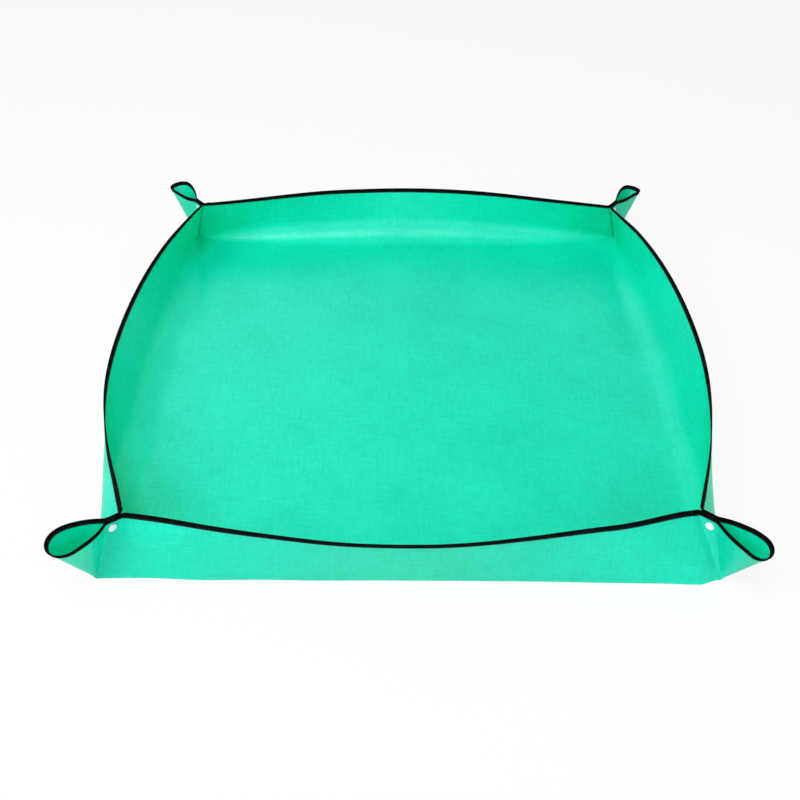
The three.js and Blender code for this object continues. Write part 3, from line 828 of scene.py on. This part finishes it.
def make_stitches(name, surface, stretch, steps, flip):
    """Short closed lengths of thread along an edge, first on its outside and then on its inside."""
    fine = np.linspace(*stretch, FINE_STEPS)
    length = run_length(surface(fine, np.full_like(fine, STITCH_LINE))[0])
    count = int(length[-1] / STITCH_PITCH)
    centres = (np.arange(count) + 0.5) * length[-1] / count
    share, rise = np.array(STITCH_RISE).T
    places = centres[:, None] + share * STITCH_PITCH * STITCH_SHARE
    columns = np.interp(places, length, fine)
    points, normals, _ = skin(surface, columns, np.full_like(columns, STITCH_LINE), steps, flip)
    ahead = np.gradient(points, axis=1)
    ahead = ahead / np.linalg.norm(ahead, axis=-1, keepdims=True)
    aside = np.cross(normals, ahead)
    turn = np.arange(STITCH_SIDES) * 2 * math.pi / STITCH_SIDES
    rings = []
    for way in (1, -1):
        middle = points + normals * (way * rise)[None, :, None]
        to_side = np.cos(turn)[:, None] * aside[:, :, None]
        to_face = way * np.sin(turn)[:, None] * normals[:, :, None]
        rings.append(middle[:, :, None] + THREAD_RADIUS * (to_side + to_face))
    rings = np.concatenate(rings)
    faces = []
    for stitch, numbers in enumerate(np.arange(rings.size // 3).reshape(rings.shape[:3]).tolist()):
        outside = stitch < count
        for face in ring_faces(numbers):
            faces.append(face[:1] + face[:0:-1] if outside else face[1:] + face[:1])
        first, last = numbers[0], numbers[-1]
        faces += [first[::-1], last] if outside else [first, last[::-1]]
    along = np.tile(np.repeat(places.reshape(-1), STITCH_SIDES), 2)
    flat = np.stack([along, np.tile(turn, 2 * places.size)], -1)
    piece = make_object(name, rings.reshape(-1, 3), faces, flat)
    dress(piece, stitch_finish)
    return piece


for wall in WALLS:
    stitches = make_stitches("stitching_wall_" + wall, wall_cloth[wall], WALL_STITCHED, WALL_STEPS, 1)
    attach(stitches, wall + "_wall")
for ear in ears:
    stitches = make_stitches(
        "stitching_ear_" + ear.name, ear_cloth[ear.name], EAR_STITCHED, EAR_STEPS, ear.side)
    blend_ear(stitches, ear)


# Snaps: white moulded fasteners, one to a corner. A domed cap shows outside each layer, its prong
# goes through the cloth, and a stud on one layer presses into a socket on the other.
POST_GAP = 0.4
SEAT_CLEAR = 0.02
SNAP_SIDES = 48
CAP_PROFILE = [
    (0.0, 1.62), (1.4, 1.58), (2.8, 1.42), (4.0, 1.14), (4.9, 0.78), (5.45, 0.48), (5.7, 0.26),
    (5.72, 0.12), (5.6, 0.0), (1.2, 0.0), (1.2, -1.05), (0.0, -1.05),
]
STUD_PROFILE = [
    (1.5, 0.0), (4.65, 0.0), (4.8, 0.12), (4.8, 0.72), (4.6, 0.9), (2.5, 0.95), (2.2, 1.1),
    (2.4, 1.5), (2.3, 1.95), (2.0, 2.1), (1.6, 2.1), (1.5, 2.0), (1.5, 0.0),
]
SOCKET_PROFILE = [
    (1.5, 0.0), (4.85, 0.0), (5.0, 0.14), (5.0, 1.6), (4.8, 1.9), (3.2, 1.94), (2.9, 1.75),
    (2.8, 0.75), (1.5, 0.75), (1.5, 0.0),
]
SNAP_SMOOTH = math.radians(38)
SNAP_WHITE = (0.90, 0.93, 0.92, 1)
SNAP_DULL = (0.82, 0.87, 0.86, 1)
SNAP_ROUGHNESS = (0.26, 0.38)
SNAP_BUMP = (0.08, 0.0002)
FLOW_MARKS, FLOW_RANGE = 380.0, (0.35, 0.75)


def moulded_finish(name):
    """Gloss white plastic with the faint flow marks of a small moulding."""
    material, start, shader = new_finish(name)
    flow = start.node("TexCoord", None, None, "Object").noise(FLOW_MARKS, SOFT_DETAIL)
    shader(Base_Color=start.mix(flow.ranged(*FLOW_RANGE), SNAP_WHITE, SNAP_DULL))
    shader(Roughness=flow.ranged(*NOISE_RANGE, *SNAP_ROUGHNESS), Normal=flow.bump(*SNAP_BUMP))
    return material


snap_finish = moulded_finish("white_moulded_plastic")


def make_snap(name, profile, seat, axis, aside):
    """A profile of radius and height turned round the snap's axis."""
    third = np.cross(axis, aside)
    turn = np.arange(SNAP_SIDES) * 2 * math.pi / SNAP_SIDES
    points, rings = [], []
    for radius, height in profile:
        middle = seat + axis * height
        if radius == 0:
            rings.append([len(points)] * SNAP_SIDES)
            points.append(middle)
        elif rings and (radius, height) == profile[0]:
            rings.append(rings[0])
        else:
            rings.append(list(range(len(points), len(points) + SNAP_SIDES)))
            for angle in turn:
                points.append(middle + radius * (math.cos(angle) * aside + math.sin(angle) * third))
    faces = [list(dict.fromkeys(face)) for face in ring_faces(rings)]
    piece = make_object(name, np.array(points), faces)
    piece.data.set_sharp_from_angle(angle=SNAP_SMOOTH)
    dress(piece, snap_finish)
    return piece


snap_turn = math.atan2(SNAP_ACROSS + POST_GAP, SNAP_UP)
snap_reach = math.hypot(SNAP_ACROSS + POST_GAP, SNAP_UP)
snap_row = WALL_HEIGHT - (WALL_HEIGHT - TAPE_WIDTH) * snap_reach / float(edge_reach(snap_turn, TAPE_WIDTH))
snap_at = (np.array(snap_turn * POST_LENGTH), np.array(snap_row))
to_seat = CLOTH_HALF + SEAT_CLEAR
for ear in ears:
    seat, out, _ = skin(ear_cloth[ear.name], *snap_at, EAR_STEPS, ear.side)
    aside = turned(ear.wall, corner_post(ear.wall, ear.number).along)
    aside = aside - np.dot(aside, out) * out
    aside = aside / np.linalg.norm(aside)
    holds_stud = ear.wall in ("left", "right")
    catch, profile = ("snap_stud_", STUD_PROFILE) if holds_stud else ("snap_socket_", SOCKET_PROFILE)
    cap = make_snap("snap_cap_shown_" + ear.name, CAP_PROFILE, seat + out * to_seat, out, aside)
    inner = make_snap(catch + "shown_" + ear.name, profile, seat - out * to_seat, -out, aside)
    for piece, node in ((cap, "snap_cap_" + ear.name), (inner, catch + ear.name)):
        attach(piece, ear.name + "_ear")
        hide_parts(node)


# Studio: a plain white floor under five soft boxes, of which the one overhead and the one on the
# left are the strongest. None of it belongs to the mat.
WHITE = (1, 1, 1, 1)
FLOOR_WHITE = (0.96, 0.90, 0.84, 1)
STAGE_HALF, STAGE_DROP = 8, 0.0004
GLOW_SHARE = 0.88
ROOM_LIGHT = 0.18
LAMP_COLOUR = (0.88, 1.0, 1.12)
FRONT_COLOUR = (0.84, 1.0, 1.24)

stage_mesh = bpy.data.meshes.new("studio_floor")
stage_corners = [(x * STAGE_HALF, y * STAGE_HALF, 0) for x, y in ((-1, -1), (1, -1), (1, 1), (-1, 1))]
stage_mesh.from_pydata(stage_corners, [], [(0, 1, 2, 3)])
stage = bpy.data.objects.new("studio_floor", stage_mesh)
stage.location.z = -STAGE_DROP
bpy.context.collection.objects.link(stage)


def in_view(start):
    """1 for what is seen straight, mirrored or through glass, and 0 for light on its way."""
    straight, mirrored, through = (
        start.node("LightPath", output="Is " + kind + " Ray")
        for kind in ("Camera", "Glossy", "Transmission")
    )
    return start.math("MAXIMUM", start.math("MAXIMUM", straight, mirrored), through)


def studio_finish(name):
    """White floor: seen straight on it is lifted towards the white background, and keeps its shadow."""
    material = bpy.data.materials.new(name)
    material.use_nodes = True
    tree = material.node_tree
    tree.nodes.clear()
    start = Finish(tree)
    matt = start.node("BsdfDiffuse", None, {"Color": FLOOR_WHITE})
    glow = start.node("Emission", None, {"Color": WHITE, "Strength": 1.0})
    both = start.node("MixShader", None, {0: in_view(start) * GLOW_SHARE, 1: matt, 2: glow})
    start.node("OutputMaterial", None, {"Surface": both})
    return material


def add_light(name, at, size, power, colour=LAMP_COLOUR):
    """A soft box that faces the middle of the floor."""
    light = bpy.data.lights.new(name, "AREA")
    light.shape = "RECTANGLE"
    light.size, light.size_y = size
    light.energy = power
    light.color = colour
    lamp = bpy.data.objects.new(name, light)
    lamp.location = at
    lamp.rotation_euler = (-lamp.location).to_track_quat("-Z", "Y").to_euler()
    bpy.context.collection.objects.link(lamp)


add_light("overhead_softbox", (-0.45, -0.9, 2.5), (1.2, 1.3), 33)
add_light("left_softbox", (-2.2, -1.0, 2.0), (2.0, 2.0), 44)
add_light("back_left_softbox", (-1.1, 2.5, 2.2), (1.6, 1.4), 6)
add_light("right_softbox", (2.4, -1.2, 1.5), (1.6, 1.6), 15)
add_light("front_softbox", (0.2, -2.8, 1.3), (2.4, 1.6), 18, FRONT_COLOUR)

world = bpy.data.worlds.new("studio")
world.use_nodes = True
bpy.context.scene.world = world
world.node_tree.nodes.clear()
room = Finish(world.node_tree)
dim = room.node("Background", None, {"Color": WHITE, "Strength": ROOM_LIGHT})
white = room.node("Background", None, {"Color": WHITE, "Strength": 1.0})
backdrop = room.node("MixShader", None, {0: in_view(room), 1: dim, 2: white})
room.node("OutputWorld", None, {"Surface": backdrop})
stage_mesh.materials.append(studio_finish("studio_white"))

bpy.context.scene.view_settings.view_transform = "Standard"
